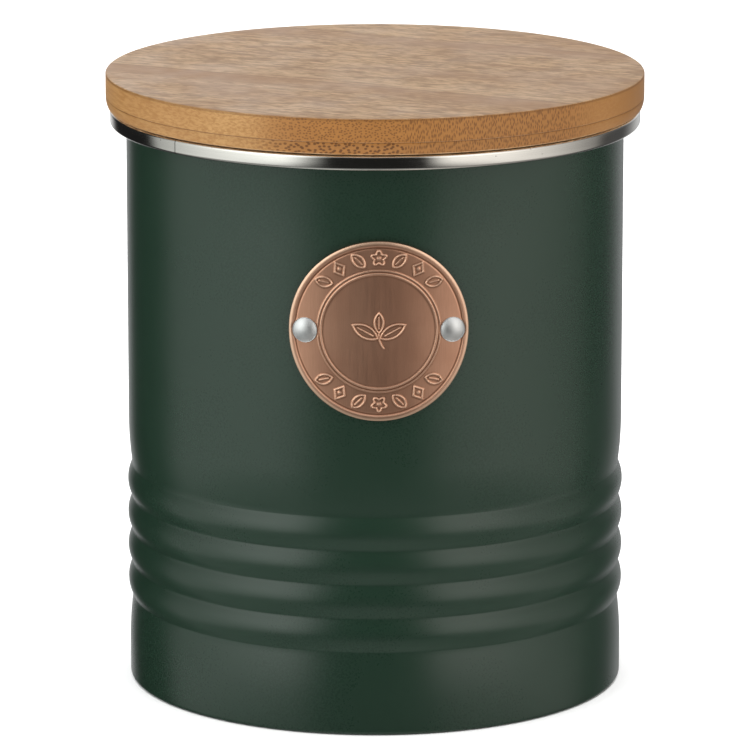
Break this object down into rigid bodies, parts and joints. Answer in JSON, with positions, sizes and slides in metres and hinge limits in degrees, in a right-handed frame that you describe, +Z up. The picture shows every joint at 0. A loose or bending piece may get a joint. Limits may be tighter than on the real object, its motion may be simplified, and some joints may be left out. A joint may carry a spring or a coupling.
{
  "type": "tea canister",
  "caption": "Round steel storage canister with rolled beads at the foot, a bare rim ring, a riveted round badge and a lift-off bamboo lid with a silicone seal.",
  "frame": {"origin": "centre of the foot circle, on the surface the canister stands on", "axes": "+Z up along the canister's axis, the badge faces -Y, +X to the right of the badge"},
  "size_m": [0.126, 0.126, 0.145],
  "materials": {
    "green_paint": "satin dark green powder coat",
    "tinned_steel": "plain tinned sheet",
    "rim_steel": "polished stainless strip",
    "badge_copper": "brushed antique copper",
    "rivet_metal": "bright domed heads",
    "bamboo_upper": "sanded pale bamboo",
    "bamboo_lower": "sanded golden bamboo",
    "seal_silicone": "matte translucent white silicone"
  },
  "bodies": {
    "canister": {"body_shell": "green_paint", "base_panel": "tinned_steel", "rim_ring": "rim_steel", "badge_plate": "badge_copper", "badge_rivet_left": "rivet_metal", "badge_rivet_right": "rivet_metal"},
    "lid": {"lid_board": "bamboo_upper", "lid_under_ply": "bamboo_lower", "lid_plug": "bamboo_lower", "lid_seal": "seal_silicone"}
  },
  "joints": [
    {"name": "lid_lift", "type": "slide", "parent": "canister", "child": "lid", "axis": [0, 0, 1], "range_m": [0, 0.1]}
  ]
}
